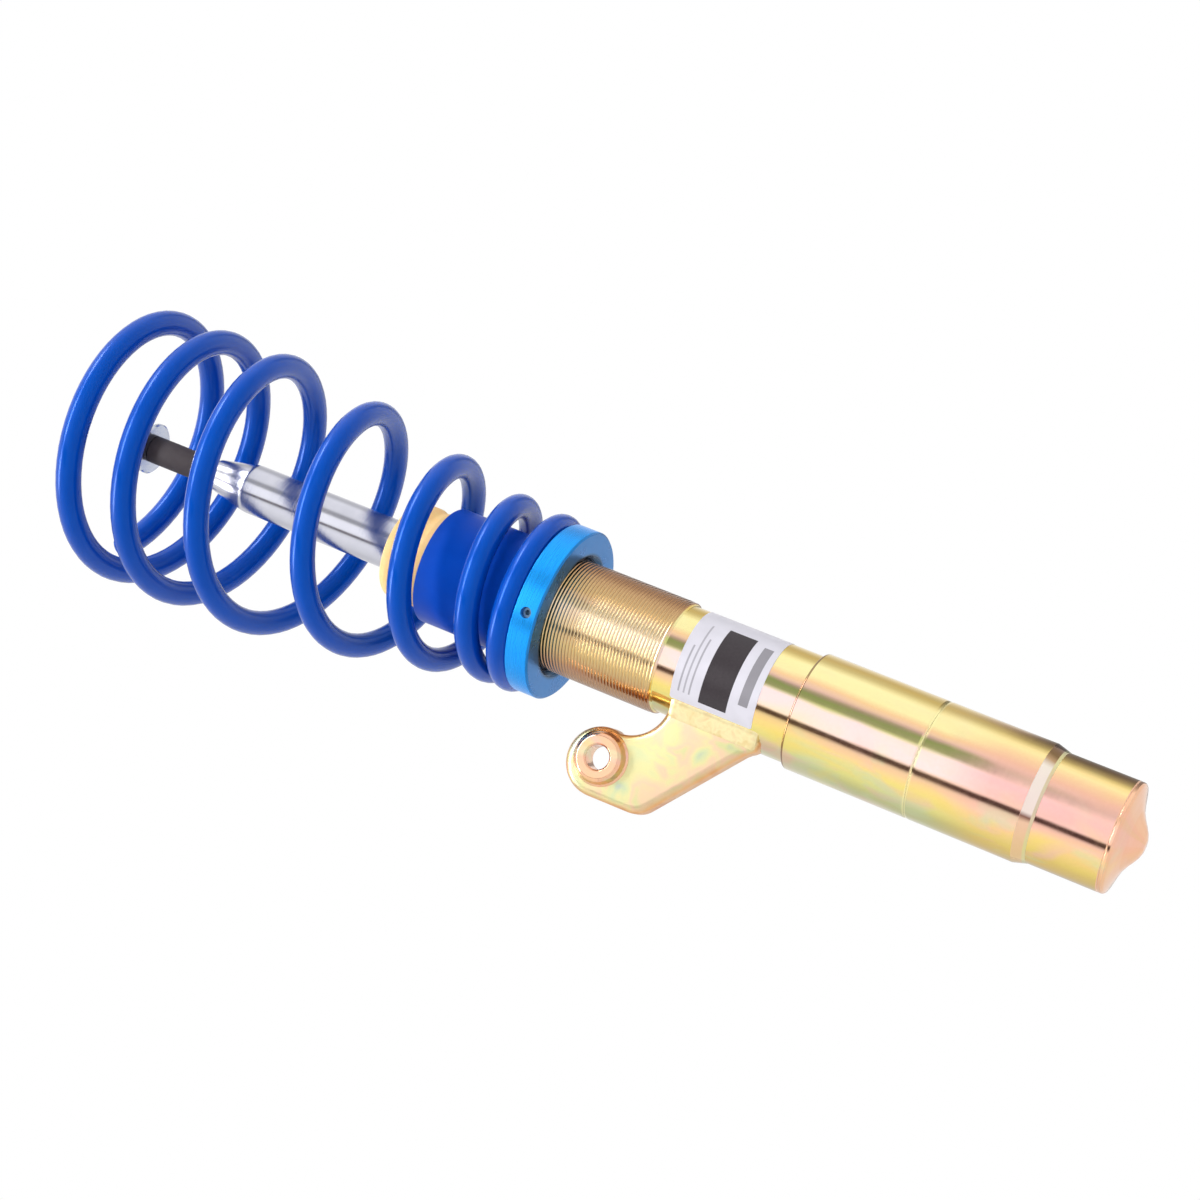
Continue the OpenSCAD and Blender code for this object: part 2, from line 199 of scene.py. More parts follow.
def fill_ramp(band, stops):
    """Sets a colour ramp to stops of (position, colour or brightness)."""
    while len(band.elements) < len(stops):
        band.elements.new(0.5)
    for element, (position, colour) in zip(band.elements, stops):
        element.position = position
        element.color = colour if hasattr(colour, "__len__") else (colour,) * 3 + (1.0,)


class Look:
    """A node material: one Principled shader and the textures that drive it."""

    def __init__(self, name, **sockets):
        self.material = bpy.data.materials.new(name)
        self.material.use_nodes = True
        self.tree = self.material.node_tree
        self.shader = self.tree.nodes["Principled BSDF"]
        for key, value in sockets.items():
            self.shader.inputs[key.replace("_", " ").title().replace("Ior", "IOR")].default_value = value
        self.place = self.tree.nodes.new("ShaderNodeTexCoord").outputs["Object"]
        self.normal = None

    def node(self, kind, inputs=(), **settings):
        return add_node(self.tree, kind, inputs, **settings)

    def math(self, operation, a, b=0.0):
        return self.node("ShaderNodeMath", {0: a, 1: b}, operation=operation).outputs[0]

    def axes(self):
        parts = self.node("ShaderNodeSeparateXYZ", {0: self.place})
        return parts.outputs[0], parts.outputs[1], parts.outputs[2]

    def azimuth(self):
        x, y, _ = self.axes()
        return self.math("ARCTAN2", y, x)

    def between(self, value, low, high):
        """1 where the value lies between two limits, else 0."""
        return self.math("MULTIPLY", self.math("GREATER_THAN", value, low),
                         self.math("LESS_THAN", value, high))

    def noise(self, size_mm, detail=3.0, rough=0.5, stretch=(1, 1, 1), distortion=0.0):
        """Cloudy pattern of that grain size; stretch above 1 packs it closer along that axis."""
        mapped = self.node("ShaderNodeMapping", {"Vector": self.place, "Scale": stretch})
        return self.node("ShaderNodeTexNoise", {
            "Vector": mapped.outputs[0], "Scale": 1000 / size_mm, "Detail": detail,
            "Roughness": rough, "Distortion": distortion}).outputs["Fac"]

    def cells(self, size_mm):
        return self.node("ShaderNodeTexVoronoi", {
            "Vector": self.place, "Scale": 1000 / size_mm}).outputs["Distance"]

    def ramp(self, fac, stops):
        made = self.node("ShaderNodeValToRGB", {0: fac})
        fill_ramp(made.color_ramp, stops)
        return made.outputs[0]

    def mix(self, fac, a, b, blend="MIX"):
        return self.node("ShaderNodeMix", {0: fac, 6: a, 7: b}, data_type="RGBA",
                         blend_type=blend).outputs[2]

    def scaled(self, value, low, high):
        return self.node("ShaderNodeMapRange", {"Value": value, "To Min": low, "To Max": high}).outputs[0]

    def rising(self, value, start, end, low=0.0, high=1.0):
        """Goes from low to high as the value goes from start to end, and is flat outside them."""
        return self.node("ShaderNodeMapRange", {
            "Value": value, "From Min": start, "From Max": end, "To Min": low, "To Max": high}).outputs[0]

    def bump(self, height, depth_mm, strength=1.0):
        inputs = {"Height": height, "Distance": depth_mm * MM, "Strength": strength}
        if self.normal is not None:
            inputs["Normal"] = self.normal
        self.normal = self.node("ShaderNodeBump", inputs).outputs[0]

    def drive(self, **sockets):
        for key, value in sockets.items():
            self.tree.links.new(value, self.shader.inputs[key.replace("_", " ").title()])

    def done(self):
        if self.normal is not None:
            self.tree.links.new(self.normal, self.shader.inputs["Normal"])
        return self.material


# ---------------------------------------------------------------- materials

PINK, PEACH = srgb(246, 196, 187), srgb(250, 209, 158)
YELLOW, PALE_YELLOW, GOLD = srgb(248, 226, 136), srgb(251, 241, 176), srgb(248, 222, 118)
# the brown is a painted dark reflection, used on the support ring's upper fillet
OLIVE, MINT, SHOULDER_DARK_REFLECTION_BROWN = srgb(214, 212, 146), srgb(212, 224, 178), srgb(126, 82, 58)

# The film's tints round a piece, partly real tint and partly painted reflection: the near-white pink band
# at the front is a painted reflection of the bright panel there. 0 is its -X side, 0.5 its front and its
# back, 1 its +X side.
FILM_AND_PAINTED_REFLECTION = [
    (0.00, srgb(196, 192, 152)), (0.15, srgb(206, 208, 150)), (0.24, srgb(232, 228, 146)),
    (0.32, YELLOW), (0.37, PEACH), (0.42, srgb(246, 206, 172)), (0.445, srgb(242, 216, 210)),
    (0.535, srgb(242, 214, 212)), (0.56, OLIVE), (0.59, srgb(200, 214, 128)),
    (0.615, srgb(236, 196, 176)), (0.65, PEACH), (0.685, PALE_YELLOW), (0.76, PALE_YELLOW),
    (0.85, srgb(242, 206, 110)), (1.00, srgb(230, 208, 142))]
# Lower down, partly real tint and partly painted reflection, with a darker brown band near the +X limb.
LOW_FILM_AND_PAINTED_REFLECTION = [
    (0.00, srgb(204, 170, 120)), (0.12, srgb(232, 198, 116)), (0.22, srgb(242, 214, 124)),
    (0.30, srgb(251, 212, 148)), (0.36, srgb(253, 198, 176)), (0.46, srgb(238, 186, 176)),
    (0.52, srgb(240, 184, 180)), (0.58, srgb(246, 196, 184)), (0.64, srgb(247, 192, 168)),
    (0.69, srgb(250, 204, 160)), (0.74, srgb(254, 230, 164)), (0.80, srgb(244, 214, 134)),
    (0.90, srgb(170, 126, 84)), (1.00, srgb(190, 160, 118))]
# Painted reflection on the chamfer: near white in the middle, dark brown at both ends.
CHAMFER_PAINTED_REFLECTION = [
    (0.00, srgb(222, 190, 130)), (0.38, srgb(250, 206, 172)), (0.41, srgb(110, 62, 52)),
    (0.44, srgb(255, 240, 230)), (0.70, srgb(255, 248, 236)), (0.75, srgb(190, 150, 116)),
    (0.80, srgb(104, 70, 52)), (1.00, srgb(120, 86, 62))]
LOW_FADE = 22        # mm over which the low film takes over
# The thread's tarnish with painted shade: dark brown towards both limbs, and a pale painted highlight at
# the front.
THREAD_TARNISH_AND_PAINTED_SHADE = [
    (0.0, srgb(136, 94, 72)), (0.20, srgb(190, 144, 112)), (0.32, srgb(212, 180, 126)),
    (0.45, srgb(222, 194, 144)), (0.55, srgb(238, 212, 178)), (0.66, srgb(210, 174, 122)),
    (0.82, srgb(176, 126, 92)), (1.0, srgb(120, 74, 62))]


def chromate(name, clouds=0.75, pinker_below=None, rings=(), chamfer=None, threaded=None,
             peach=0.0, roughness=0.10):
    """Yellow-chromated zinc: a thin lustrous film whose tint changes round the piece, partly as painted
    reflection.

    Clouds of pink, mint and gold drift over the -X side. Chamfer and threaded are (low, high) bands
    along Z with tints of their own: painted reflection on the chamfer, tarnish and painted shade on the
    thread. Rings are (low, high, colour, share) bands."""
    look = Look(name, metallic=1.0, roughness=roughness)
    x, _, z = look.axes()
    drift = look.noise(16.0, detail=2.0, rough=0.45, stretch=(1, 1, 0.4), distortion=0.5)
    side = look.math("SUBTRACT", 1.0, look.math(
        "DIVIDE", look.math("ABSOLUTE", look.azimuth()), math.pi))
    side = look.math("ADD", side, look.math("MULTIPLY", look.math("SUBTRACT", drift, 0.5), 0.05))
    colour = look.ramp(side, FILM_AND_PAINTED_REFLECTION)
    if pinker_below is not None:
        share = look.rising(z, pinker_below * MM, (pinker_below - LOW_FADE) * MM)
        share = look.math("MULTIPLY", share, look.scaled(drift, 0.6, 1.25))
        colour = look.mix(share, colour, look.ramp(side, LOW_FILM_AND_PAINTED_REFLECTION))
    if peach:
        colour = look.mix(peach, colour, look.mix(drift, srgb(252, 200, 148), srgb(249, 184, 174)))
    cloudy_side = look.rising(x, 0, -13 * MM, 0.15, 1.0)
    for size, tint, strength in ((15.0, PINK, 0.8), (13.0, MINT, 0.75), (19.0, GOLD, 0.8)):
        cloud = look.noise(size, detail=2.5, rough=0.5, stretch=(1, 1, 0.5), distortion=0.8)
        cloud = look.rising(cloud, 0.50, 0.66, 0.0, clouds * strength)
        colour = look.mix(look.math("MULTIPLY", cloud, cloudy_side), colour, tint)
    fine = look.noise(1.1, detail=4.0, rough=0.65)
    colour = look.mix(look.scaled(fine, 0.0, 0.14), colour, srgb(206, 170, 110), "MULTIPLY")
    if chamfer:
        # painted reflection on the chamfer band
        inside = look.between(z, chamfer[0] * MM, chamfer[1] * MM)
        colour = look.mix(look.math("MULTIPLY", inside, 0.85), colour, look.ramp(side, CHAMFER_PAINTED_REFLECTION))
    for low, high, tint, share in rings:
        inside = look.between(z, low * MM, high * MM)
        colour = look.mix(look.math("MULTIPLY", inside, share), colour, tint)
    rough_low, rough_high = roughness * 0.6, roughness * 1.6
    if threaded:
        # tarnish, painted shade and a painted highlight on the thread
        inside = look.between(z, threaded[0] * MM, threaded[1] * MM)
        colour = look.mix(look.math("MULTIPLY", inside, 0.9), colour, look.ramp(side, THREAD_TARNISH_AND_PAINTED_SHADE))
        rough_low = look.math("ADD", look.math("MULTIPLY", inside, 0.03), rough_low)
        rough_high = look.math("ADD", look.math("MULTIPLY", inside, 0.05), rough_high)
    look.drive(base_color=colour,
               roughness=look.scaled(look.noise(5.0, detail=4.0, rough=0.6), rough_low, rough_high))
    look.bump(look.noise(0.9, detail=2.0, stretch=(1, 1, 0.06)), 0.010, 0.5)
    look.bump(look.noise(9.0, detail=2.0), 0.05, 0.5)
    return look.done()


def chromate_plate(name, weld=False):
    """The same film on rolled sheet: paler and duller on the flat, orange along the folded edge.

    On the weld it is plain pale yellow."""
    look = Look(name, metallic=0.9, roughness=0.34)
    _, y, _ = look.axes()
    flat = look.ramp(look.noise(17.0, detail=2.5, rough=0.5, distortion=0.8), [
        (0.25, srgb(170, 184, 184)), (0.38, srgb(204, 212, 168)), (0.48, srgb(222, 216, 160)),
        (0.57, srgb(234, 200, 170)), (0.66, srgb(210, 210, 154)), (0.78, srgb(176, 190, 170))])
    fold = look.ramp(look.noise(9.0, detail=2.0, stretch=(1, 0.5, 1)), [
        (0.3, srgb(226, 160, 104)), (0.5, srgb(240, 186, 128)), (0.7, srgb(236, 196, 150))])
    bent = look.rising(y, (0.1 - PLATE_FRONT) * MM, (1.8 - PLATE_FRONT) * MM)
    if weld:
        colour = look.ramp(look.noise(5.0, detail=2.0, distortion=0.5), [
            (0.3, srgb(236, 214, 156)), (0.5, srgb(246, 234, 184)), (0.7, srgb(240, 216, 164))])
    else:
        colour = look.mix(bent, flat, fold)
    grain = look.noise(0.7, detail=4.0, rough=0.7)
    look.drive(base_color=look.mix(look.scaled(grain, 0.0, 0.22), colour, srgb(200, 176, 128), "MULTIPLY"),
               roughness=look.scaled(look.noise(4.0, detail=4.0), 0.26, 0.44))
    look.bump(grain, 0.015, 0.6)
    look.bump(look.noise(12.0, detail=2.0), 0.10, 0.5)
    return look.done()


def powder_coat(name, colour, deep, roughness=0.24):
    """Glossy powder paint with a faint orange-peel surface."""
    look = Look(name, roughness=roughness, specular_ior_level=0.9, specular_tint=(0.0, 0.22, 1.0, 1.0),
                coat_weight=0.16, coat_roughness=0.10)
    cloud = look.noise(16.0, detail=3.0)
    fine = look.noise(0.5, detail=3.0, rough=0.7)
    paint = look.mix(look.scaled(cloud, 0.0, 0.5), colour, deep)
    paint = look.mix(look.scaled(fine, 0.0, 0.08), paint, srgb(20, 90, 220))
    look.drive(base_color=paint, roughness=look.scaled(fine, roughness * 0.8, roughness * 1.25))
    look.bump(look.noise(1.6, detail=2.0), 0.03, 0.45)
    look.bump(look.noise(6.0, detail=1.0), 0.05, 0.3)
    return look.done()


def satin_plastic(name, colour, other, roughness=0.42, grain_mm=0.6, grain_depth=0.02,
                  tint=(1, 1, 1, 1)):
    """Moulded plastic with a fine grain; tint colours what it mirrors."""
    look = Look(name, roughness=roughness, specular_ior_level=0.45, specular_tint=tint)
    paint = look.mix(look.noise(8.0, detail=4.0), colour, other)
    look.drive(base_color=paint,
               roughness=look.scaled(look.noise(3.0, detail=3.0), roughness * 0.85, roughness * 1.2))
    look.bump(look.noise(grain_mm, detail=2.0), grain_depth, 0.6)
    return look.done()


def turned_metal(name, colour, other, roughness=0.2, lines_mm=0.25, depth=0.006):
    """Metal with the fine rings that a lathe or grinder leaves round Z."""
    look = Look(name, metallic=1.0, roughness=roughness)
    rings = look.noise(lines_mm, detail=2.0, stretch=(0.02, 0.02, 1))
    look.drive(base_color=look.mix(look.noise(10.0, detail=4.0), colour, other),
               roughness=look.scaled(rings, roughness * 0.7, roughness * 1.4))
    look.bump(rings, depth, 0.5)
    return look.done()


def foam(name, colour, other):
    """Closed-cell polyurethane foam: matt, with fine pores."""
    look = Look(name, roughness=0.72, specular_ior_level=0.3, subsurface_weight=0.15,
                subsurface_scale=0.003)
    pores = look.cells(0.8)
    paint = look.mix(look.noise(5.0, detail=4.0), colour, other)
    # painted shade: the pores are tinted a darker orange-brown
    paint = look.mix(look.ramp(pores, [(0.0, 0.35), (0.28, 0.0)]), paint, srgb(190, 110, 40))
    look.drive(base_color=paint)
    look.bump(pores, 0.12, 0.5)
    look.bump(look.noise(3.0, detail=3.0), 0.15, 0.4)
    return look.done()


def rubber(name, colour):
    """Matt black rubber, slightly mottled."""
    look = Look(name, roughness=0.6, specular_ior_level=0.35)
    look.drive(base_color=look.mix(look.noise(2.0, detail=4.0), colour, srgb(58, 56, 56)),
               roughness=look.scaled(look.noise(1.0), 0.5, 0.75))
    look.bump(look.noise(0.4, detail=2.0), 0.02, 0.5)
    return look.done()


def label_film(name):
    """Silver film with plain printed bars, and no lettering."""
    look = Look(name, metallic=0.15, roughness=0.34, specular_ior_level=0.5)
    _, _, z = look.axes()
    azimuth = look.azimuth()

    # height above the label's lower edge, thickness, first and last degrees round Z, depth of ink
    bars = [(12.0, 12.5, -124, -36, 1.0), (3.6, 4.2, -110, -42, 0.62), (28.6, 0.8, -120, -58, 0.45),
            (31.0, 0.8, -120, -40, 0.4), (33.4, 0.8, -120, -70, 0.45)]
    print_mask = 0.0
    for above, thick, first, last, depth in bars:
        low = LABEL_LOW + above
        bar = look.math("MULTIPLY", look.between(z, low * MM, (low + thick) * MM),
                        look.between(azimuth, math.radians(first), math.radians(last)))
        print_mask = look.math("MAXIMUM", print_mask, look.math("MULTIPLY", bar, depth))
    film = look.mix(look.noise(6.0, detail=4.0), srgb(184, 182, 190), srgb(198, 196, 204))
    ink = look.mix(look.noise(1.0, detail=3.0), srgb(34, 28, 32), srgb(50, 42, 46))
    look.drive(base_color=look.mix(print_mask, film, ink),
               roughness=look.scaled(look.noise(2.0), 0.26, 0.44))
    look.bump(look.noise(1.4, detail=2.0), 0.02, 0.4)
    return look.done()


def anodised(name, colour, deep):
    """Turned and anodised aluminium: bright, with faint tool rings, and painted shade on its lower face and
    in the bore.
    """
    look = Look(name, metallic=0.85, roughness=0.26)
    rings = look.noise(0.35, detail=2.0, stretch=(0.03, 0.03, 1))
    cloud = look.noise(9.0, detail=3.0)
    tint = look.mix(look.scaled(cloud, 0.0, 0.6), colour, deep)
    x, y, z = look.axes()
    radius = look.math("SQRT", look.math("ADD", look.math("MULTIPLY", x, x), look.math("MULTIPLY", y, y)))
    underside_shade = look.rising(z, (PERCH_LOW + 0.9) * MM, (PERCH_LOW + 0.6) * MM)
    bore_shade = look.rising(radius, (THREAD_R + 4.0) * MM, (THREAD_R + 2.8) * MM)
    # painted shade: the lower face is tinted a darker blue, and the bore near-black blue
    tint = look.mix(look.math("MULTIPLY", underside_shade, 0.85), tint, srgb(28, 92, 158))
    tint = look.mix(look.math("MULTIPLY", bore_shade, 0.9), tint, srgb(8, 24, 50))
    look.drive(base_color=look.mix(look.scaled(rings, 0.0, 0.25), tint, srgb(90, 190, 255)),
               roughness=look.scaled(rings, 0.20, 0.36))
    look.bump(rings, 0.012, 0.5)
    return look.done()


STEEL = srgb(206, 208, 212)
LOOKS = {
    "zinc_yellow": chromate("chromate_body", pinker_below=14, chamfer=(-26.8, -CLAMP_HALF - 0.1), rings=(
        # painted dark reflection in the support ring's upper fillet, as a brown ring
        (SUPPORT_TOP - 1.1, SUPPORT_TOP + 0.5, SHOULDER_DARK_REFLECTION_BROWN, 0.75),
        # painted highlight along the seam, as a pale ring
        (SEAM_Z - 0.7, SEAM_Z + 0.8, PALE_YELLOW, 0.5), (CHAMFER_LOW - 0.9, -26.8, MINT, 0.5))),
    "zinc_tube": chromate("chromate_tube", pinker_below=8, threaded=(THREAD_LOW + 0.4, TUBE_TOP + 0.5)),
    "zinc_cup": chromate("chromate_cup", peach=0.85, clouds=0.5),
    "zinc_yellow_bracket": chromate_plate("chromate_bracket"),
    "zinc_yellow_boss": chromate("chromate_boss", clouds=0.9, peach=0.92, roughness=0.16),
    "zinc_yellow_weld": chromate_plate("chromate_weld", weld=True),
    "label_film": label_film("silver_label"),
    "drawn_steel": turned_metal("drawn_tube_steel", STEEL, srgb(178, 180, 186), 0.24),
    "sintered_steel": turned_metal("pressed_powder_steel", srgb(150, 150, 152), srgb(120, 120, 124),
                                   0.42, lines_mm=0.5, depth=0.02),
    "spring_steel": turned_metal("valve_disc_steel", srgb(196, 200, 208), srgb(160, 168, 184), 0.22),
    "bronze": turned_metal("guide_bush_bronze", srgb(196, 150, 86), srgb(160, 118, 62), 0.28),
    "black_rubber": rubber("seal_rubber", srgb(34, 33, 34)),
    "chrome_rod": turned_metal("hard_chrome", srgb(218, 218, 226), srgb(198, 199, 210), 0.17,
                               lines_mm=0.4, depth=0.03),
    "brown_band": satin_plastic("piston_band_resin", srgb(96, 72, 48), srgb(72, 54, 38)),
    "black_plastic": satin_plastic("protector_plastic", srgb(40, 31, 34), srgb(54, 44, 47), 0.6,
                                   grain_mm=0.5, grain_depth=0.05),
    "bright_zinc": turned_metal("bright_zinc_plate", srgb(226, 230, 236), srgb(196, 202, 214), 0.2),
    "orange_foam": foam("stop_foam", srgb(255, 204, 128), srgb(255, 218, 158)),
    "blue_sleeve": satin_plastic("sleeve_plastic", srgb(0, 62, 166), srgb(0, 72, 184), 0.40,
                                 tint=(0.1, 0.25, 1.0, 1.0)),
    "blue_powder_coat": powder_coat("spring_powder_coat", srgb(0, 66, 160), srgb(0, 46, 130)),
    "blue_anodised": anodised("perch_anodising", srgb(0, 158, 250), srgb(0, 138, 236)),
    # painted highlight: the black-oxide screw is tinted a light blue-grey, as it looks lit inside its hole
    "black_oxide": turned_metal("screw_black_oxide", srgb(120, 150, 172), srgb(84, 104, 124), 0.3),
}


def dress_cad_nodes():
    """Gives each CAD node the look of its record slot."""
    slots = {m["slot"] for m in frame["record"].get("materials", [])}
    for name, node in frame["nodes"].items():
        for material_slot in node.material_slots:
            wanted = material_slot.material.name.split(".")[0] if material_slot.material else ""
            if wanted in LOOKS and wanted in slots:
                material_slot.material = LOOKS[wanted]
            else:
                print("no look for", name, wanted)


# ---------------------------------------------------------------- strut body

def damper_tube():
    """Plain below, with a real rolled thread above."""
    segs = 96
    # one turn of the thread, as (share of the pitch, radius)
    shape = [(0.0, THREAD_R - 0.04), (0.06, THREAD_R), (0.44, THREAD_R), (0.50, THREAD_R - 0.04),
             (0.66, THREAD_ROOT), (0.84, THREAD_ROOT)]
    low, high = THREAD_LOW + 0.6, TUBE_TOP - 0.8
    rows = []
    for k in range(-2, int((high - low) / PITCH) + 3):
        for share, radius in shape:
            row = []
            for j in range(segs):
                z = low + PITCH * (k + share + j / segs)
                inside = low < z < high
                run_out = min(1.0, max(0.0, (z - low) / 3.0))
                rise = (radius - THREAD_ROOT) * (0.35 + 0.65 * run_out) if inside else 0.0
                r = THREAD_ROOT + rise
                a = TAU * j / segs
                row.append((r * math.cos(a), r * math.sin(a), min(max(z, low), high)))
            rows.append(row)
    bm = bmesh.new()
    made = add_grid(bm, rows, closed_rows=False, closed_columns=False)
    per_turn = len(shape)
    for i in range(len(rows) - 1 - per_turn):
        bm.faces.new((made[i][-1], made[i + per_turn][0], made[i + per_turn + 1][0], made[i + 1][-1]))
    rest = [(THREAD_ROOT, low), (TUBE_R + 0.2, THREAD_LOW + 0.1), (TUBE_R, THREAD_LOW - 0.1),
            (TUBE_R, THREAD_LOW - 0.6), (TUBE_R, TUBE_LOW + 0.5),
            (TUBE_R, TUBE_LOW), (BORE_R, TUBE_LOW), (BORE_R, TUBE_TOP - 0.5),
            (BORE_R + 0.5, TUBE_TOP), (THREAD_ROOT - 0.4, TUBE_TOP), (THREAD_ROOT, high)]
    add_grid(bm, turned_rows(rest, segs), closed_rows=False)
    finish_piece(bm, "threaded_damper_tube", "strut", LOOKS["zinc_tube"],
                 ["damper_tube"], 50)


def strut_rings():
    """The welded base cup, the clamped band with its chamfer, and the ring above their faint seam."""
    zinc = LOOKS["zinc_yellow"]
    low = TUBE_LOW
    turned("dished_base_cup", [
        (0, low + 3, 0), (BORE_R - 0.1, low + 3, 0), (BORE_R - 0.1, low, 0), (TUBE_R, low, 0.0),
        (TUBE_R, low - 0.25, 0.2), (TUBE_R - 0.25, low - 0.5, 0.1), (TUBE_R - 0.05, low - 0.8, 0.2),
        (TUBE_R - 0.1, low - 2.9, 1.6), (17, low - 4.4, 6), (13, low - 5.6, 4), (10, low - 7.2, 4),
        (7.6, low - 8.8, 4), (5.2, low - 10.2, 3), (2.8, low - 11, 2), (0, low - 11.2, 0)],
        "strut", LOOKS["zinc_cup"], ["base_cup"], sharp=40)
    turned("clamp_band_sleeve", [
        (TUBE_R, CHAMFER_LOW, 0), (TUBE_R + 0.15, CHAMFER_LOW, 0.1), (CLAMP_R, -CLAMP_HALF, 0.5),
        (CLAMP_R, SEAM_Z - 1.3, 1.0), (CLAMP_R - 0.14, SEAM_Z, 0.05), (TUBE_R, SEAM_Z, 0)],
        "strut", zinc, ["clamp_sleeve"], sharp=40)
    turned("upper_support_ring", [
        (TUBE_R, SEAM_Z + 0.05, 0), (CLAMP_R - 0.14, SEAM_Z + 0.05, 0.03), (CLAMP_R, SEAM_Z + 1.4, 1.0),
        (CLAMP_R, SUPPORT_TOP, 1.3), (TUBE_R, SUPPORT_TOP, 0)],
        "strut", zinc, ["support_ring"], sharp=40)


def arc(cx, cy, r, start, end, n):
    """Points of an arc from one angle to another, in degrees."""
    angles = [math.radians(start + (end - start) * i / n) for i in range(n + 1)]
    return [(cx + r * math.cos(a), cy + r * math.sin(a)) for a in angles]


def bracket_outline(w):
    """The bracket's outline in X and Z, drawn in by w on its free edges."""
    slope = math.radians(230.6)
    foot = (-26.4 - w * math.cos(slope), 91.4 - w * math.sin(slope))
    return ([(-14, 86.4 + w), (-22.9, 87.2 + w), (-24.1, 88.4 + w), (-25.1, 89.9 + w), foot]
            + arc(-55, 128.5, 10.5 - w, 230.6, 180, 12) + arc(-51, 147.5, 14.7 - w, 180, -8, 30)
            + arc(-20, 145.2, 17 + w, 183, 268, 16) + [(-14, 128.2 - w)])


def link_bracket():
    """Pressed plate, its edge folded back with a soft bend."""
    bend, lip, root = 3.4, 0.7, 2.0
    buried_r = TUBE_R - 1.0          # the plate ends inside the tube's wall
    rings = []
    for i in range(7):
        t = math.radians(90 - 15 * i)
        rings.append((bend - bend * math.cos(t), PLATE_FRONT - bend + bend * math.sin(t)))
    rings += [(0, RIM_BACK + lip), (0.2, RIM_BACK + 0.2), (lip, RIM_BACK), (RIM_T - lip, RIM_BACK),
              (RIM_T - 0.2, RIM_BACK + 0.2), (RIM_T, RIM_BACK + lip)]
    inner_front = PLATE_FRONT - PLATE_T
    rings += [(RIM_T, inner_front - root), (RIM_T + 0.6, inner_front - 0.6), (RIM_T + root, inner_front)]
    rows = []
    for w, depth in rings:
        row = []
        for x, z in bracket_outline(w):
            edge = -math.sqrt(max(buried_r ** 2 - depth ** 2, 0))
            row.append((min(x, edge), -depth, z))
        rows.append(row)
    bm = bmesh.new()
    made = add_grid(bm, rows, closed_rows=False)
    bm.faces.new(made[0])
    bm.faces.new(made[-1])
    bracket = finish_piece(bm, "pressed_link_bracket", "strut",
                           LOOKS["zinc_yellow_bracket"], ["link_bracket"], 28)
    drill(bracket, BOSS_R - 0.4, (LINK_X, -2, LINK_Z), (LINK_X, -30, LINK_Z), 28)


def link_boss():
    """Collar through the plate, with a flared foot and a chamfered hole."""
    back, face, plate = 8.8, BOSS_FACE, PLATE_FRONT
    faces_minus_y = Matrix.Translation((LINK_X * MM, 0, LINK_Z * MM)) @ Matrix.Rotation(math.pi / 2, 4, "X")
    turned("raised_link_boss", [
        (LINK_HOLE_R, back, 0.4), (BOSS_R - 0.1, back, 0.4), (BOSS_R - 0.1, plate - 0.3, 0),
        (BOSS_R + 1.0, plate - 0.1, 0.0), (BOSS_R + 0.9, plate + 0.1, 0.15), (BOSS_R, plate + 1.0, 1.0),
        (BOSS_R - 0.9, face - 0.9, 1.1), (BOSS_R - 2.2, face, 1.0), (LINK_HOLE_R + 0.7, face, 0.4),
        (LINK_HOLE_R, face - 0.7, 0.3)],
        "strut", LOOKS["zinc_yellow_boss"], ["link_boss"], segs=72,
        place=faces_minus_y, sharp=45)


def weld_bead(name, crown, core, z_low, z_high, replaces=()):
    """A fillet weld with the ripples of its travel, swept along Z."""
    step, ripple = 0.4, 2.3
    count = int((z_high - z_low) / step)
    bm = bmesh.new()
    rows = []
    for i in range(count + 1):
        z = z_low + (z_high - z_low) * i / count
        ends = min(1.0, (z - z_low) / 2.2, (z_high - z) / 2.2)
        swell = 0.78 + 0.20 * math.sin(math.pi / 2 * ends) + 0.02 * abs(math.sin(math.pi * z / ripple))
        rows.append([(core[0] + (x - core[0]) * swell, core[1] + (y - core[1]) * swell, z)
                     for x, y in crown])
    made = add_grid(bm, rows, closed_rows=False)
    bm.faces.new(made[0])
    bm.faces.new(made[-1])
    return finish_piece(bm, name, "strut", LOOKS["zinc_yellow_weld"], replaces, 60)


def bracket_welds():
    """The beads along the bracket's root, in front and behind, as (x, y) round a core."""
    weld_bead("bracket_weld_front", [
        (-17.0, -13.4), (-23.4, -13.4), (-22.9, -14.15), (-21.4, -14.75), (-20.0, -15.35),
        (-18.7, -16.0), (-17.5, -16.7), (-16.3, -17.2), (-15.2, -17.3)], (-17.6, -14.8),
        87.8, 127.0, ["bracket_weld"])
    weld_bead("bracket_weld_back", [
        (-19.2, -10.4), (-24.9, -10.4), (-25.0, -9.2), (-24.2, -7.8), (-22.8, -6.0), (-21.6, -5.2)],
        (-21.6, -9.0), 92.0, 124.0)


def label():
    """Thin film with rounded corners, wrapped round the plain tube and a little askew."""
    radius, thick, corner = TUBE_R + 0.005, 0.14, 0.9
    start, end = math.radians(-131), math.radians(10)
    columns = 120
    front, back = [], []
    for i in range(columns + 1):
        a = start + (end - start) * i / columns
        from_edge = min(i, columns - i) / columns * (end - start) * radius
        skew = 1.5 * i / columns
        inset = max(0.0, corner - from_edge)
        trim = corner - math.sqrt(max(corner ** 2 - inset ** 2, 0))
        z0, z1 = LABEL_LOW + trim + skew, LABEL_HIGH - trim + skew
        for rows, r in ((front, radius + thick), (back, radius)):
            rows.append([(r * math.cos(a), r * math.sin(a), z0 + (z1 - z0) * k / 6) for k in range(7)])
    loops = [f + b[::-1] for f, b in zip(front, back)]
    bm = bmesh.new()
    made = add_grid(bm, loops, closed_rows=False)
    bm.faces.new(made[0])
    bm.faces.new(made[-1])
    finish_piece(bm, "blank_silver_label", "strut", LOOKS["label_film"], ["id_label"], 40)


# ---------------------------------------------------------------- perch, sleeve, stop, rod

